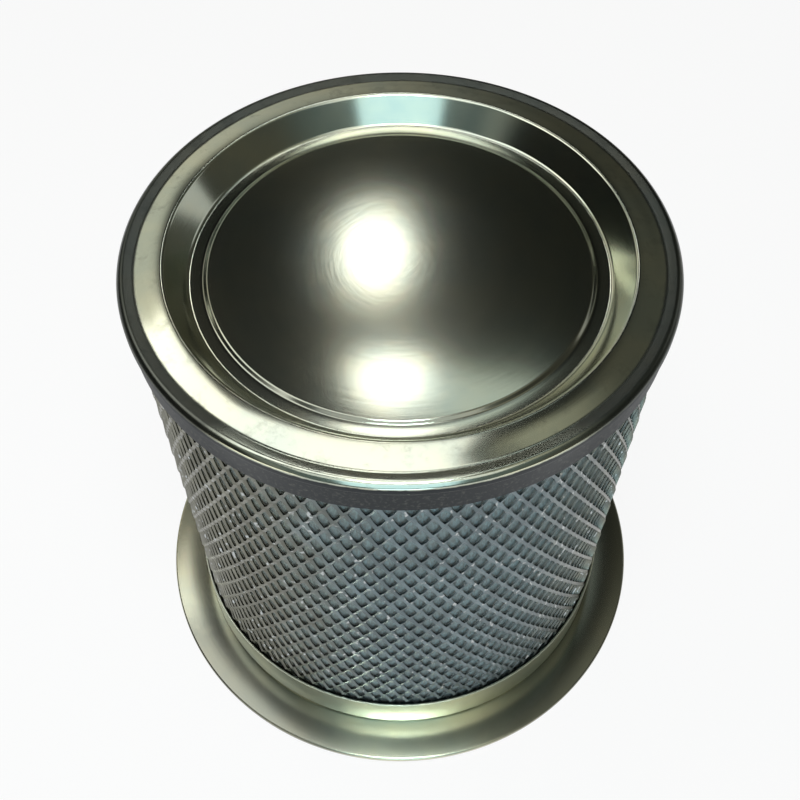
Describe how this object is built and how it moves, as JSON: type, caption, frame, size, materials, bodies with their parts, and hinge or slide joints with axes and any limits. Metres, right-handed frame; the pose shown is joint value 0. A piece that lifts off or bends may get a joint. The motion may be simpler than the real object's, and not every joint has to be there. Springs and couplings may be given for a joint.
{
  "type": "oil separator element",
  "caption": "Compressor oil separator element: pressed closed cap, expanded steel shell over coalescing wraps, lower pan and gasketed mounting flange.",
  "frame": {"origin": "centre of the gasket's lower face, the face that seals on the tank", "axes": "+Z along the element's axis towards the closed end cap; the element is round about it"},
  "size_m": [0.202, 0.202, 0.19],
  "materials": {
    "zinc_sheet": "zinc plated, satin with a faint yellow passivation",
    "expanded_steel": "zinc plated expanded sheet",
    "flange_zinc": "zinc plated plate",
    "tube_steel": "galvanised perforated sheet",
    "fleece": "spunbond polyester",
    "glass_fibre": "micro glass fibre paper",
    "felt": "needled polyester felt",
    "resin": "cured epoxy",
    "gasket_fibre": "compressed fibre, matt",
    "staple_wire": "galvanised wire"
  },
  "bodies": {
    "root": {"end_cap": "zinc_sheet", "outer_shell": "expanded_steel", "outer_fleece": "fleece", "first_stage_wrap": "glass_fibre", "first_stage_scrim": "fleece", "middle_tube": "tube_steel", "second_stage_wrap": "glass_fibre", "second_stage_scrim": "fleece", "drain_felt": "felt", "inner_gauze": "tube_steel", "inner_tube": "tube_steel", "upper_resin": "resin", "lower_resin": "resin", "lower_pan": "zinc_sheet", "mounting_flange": "flange_zinc", "flange_gasket": "gasket_fibre", "grounding_staples": "staple_wire"}
  },
  "joints": []
}
